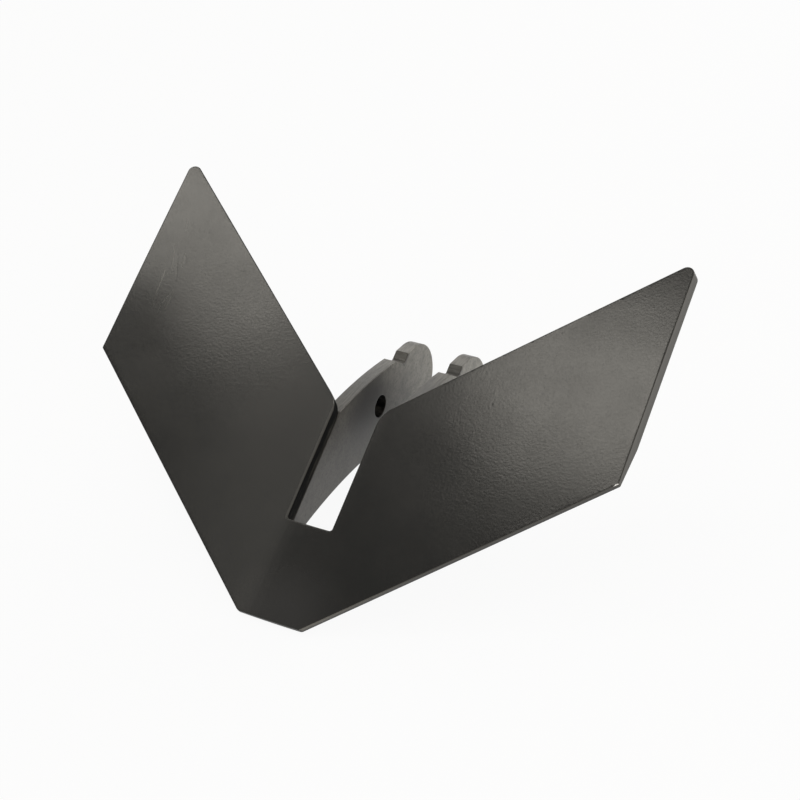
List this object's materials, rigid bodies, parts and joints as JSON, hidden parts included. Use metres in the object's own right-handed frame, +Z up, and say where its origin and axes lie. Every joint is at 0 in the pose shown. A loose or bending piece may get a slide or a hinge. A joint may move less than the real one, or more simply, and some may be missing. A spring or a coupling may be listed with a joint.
{
  "type": "cultivator sweep",
  "caption": "Broad V-shaped cultivator sweep of black-painted steel plate, with a rear slot and welded curved cheeks for a tine.",
  "frame": {"origin": "on the floor, under the middle of the sweep's box, with the sweep standing on the lower edge of its nose and the round heads of its cheeks", "axes": "+X across the sweep, the right wing as seen from the nose; +Y from the nose towards the heads of the cheeks; +Z up from the floor"},
  "size_m": [0.302, 0.2154, 0.1425],
  "materials": {
    "black_paint": "satin, thin, slightly rippled"
  },
  "bodies": {
    "root": {"blade": "black_paint", "left_cheek": "black_paint", "right_cheek": "black_paint", "left_weld": "black_paint", "right_weld": "black_paint"}
  },
  "joints": []
}
